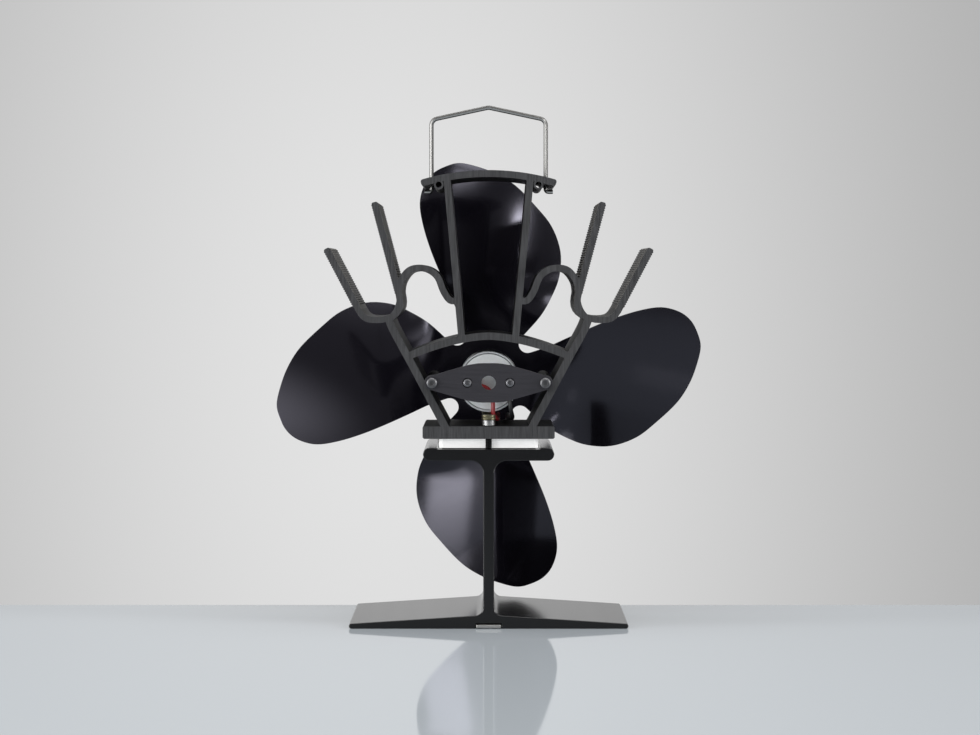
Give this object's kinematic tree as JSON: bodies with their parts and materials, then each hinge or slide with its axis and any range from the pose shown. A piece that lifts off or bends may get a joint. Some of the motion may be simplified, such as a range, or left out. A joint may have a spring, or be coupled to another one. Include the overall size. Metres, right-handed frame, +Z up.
{
  "type": "stove fan",
  "caption": "Heat-driven stove fan: an extruded stand and a forked heat sink clamp a thermoelectric module, and a small motor turns a wide-bladed propeller.",
  "frame": {"origin": "middle of the foot's underside", "axes": "+Z up, +X to the right seen from the rear, +Y from the rear towards the propeller along its shaft"},
  "size_m": [0.1924, 0.098, 0.2236],
  "materials": {
    "black_anodised": "satin black anodised aluminium extrusion",
    "sawn_dark": "black anodised aluminium with fine saw marks on its end faces",
    "blade_black": "smooth satin black anodised aluminium sheet",
    "bracket_dark": "dark grey-violet anodised plate",
    "bright_steel": "bright stainless or nickel-plated steel",
    "black_screw": "black zinc-plated steel with rubbed edges",
    "zinc_yellow": "yellow-passivated zinc plate on steel",
    "motor_grey": "zinc-plated drawn steel",
    "cap_grey": "pale blue-grey moulded motor cap",
    "bronze": "sintered bronze and tinned brass",
    "ferrite": "matt black ferrite",
    "lamination": "stacked steel laminations",
    "copper": "turned copper",
    "white_ceramic": "white alumina",
    "white_seal": "white silicone",
    "pellet_grey": "grey semiconductor pellets",
    "red_plastic": "red lead insulation",
    "black_plastic": "black lead insulation"
  },
  "bodies": {
    "frame": {"stand": "black_anodised", "bimetal_strip": "bright_steel", "strip_rivet": "bright_steel", "module_hot_plate": "white_ceramic", "module_pellets": "pellet_grey", "module_cold_plate": "white_ceramic", "module_seal": "white_seal", "heat_sink": "sawn_dark", "clamp_bolt_rear": "zinc_yellow", "clamp_bolt_front": "zinc_yellow", "clamp_bush_rear": "bright_steel", "clamp_bush_front": "bright_steel", "motor_bracket": "bracket_dark", "bracket_screw_left": "black_screw", "bracket_screw_right": "black_screw", "motor_screw_left": "bright_steel", "motor_screw_right": "bright_steel", "motor_spacer_left": "bright_steel", "motor_spacer_right": "bright_steel", "motor_can": "motor_grey", "motor_end_cap": "cap_grey", "motor_terminal_left": "bronze", "motor_terminal_right": "bronze", "shaft_bush_rear": "bronze", "shaft_bush_front": "bronze", "motor_magnet_left": "ferrite", "motor_magnet_right": "ferrite", "red_lead": "red_plastic", "black_lead": "black_plastic"},
    "rotor": {"motor_shaft": "bright_steel", "motor_armature": "lamination", "commutator": "copper", "hub_spindle": "bright_steel", "propeller": "blade_black", "hub_nut": "bright_steel"},
    "carry_handle": {"handle": "bright_steel"}
  },
  "joints": [
    {"name": "fan_spin", "type": "hinge", "parent": "frame", "child": "rotor", "pos_m": [0, 0.0435, 0.1048], "axis": [0, 1, 0], "continuous": true},
    {"name": "handle_slide", "type": "slide", "parent": "frame", "child": "carry_handle", "axis": [0, 0, 1], "range_m": [-0.018, 0]}
  ]
}
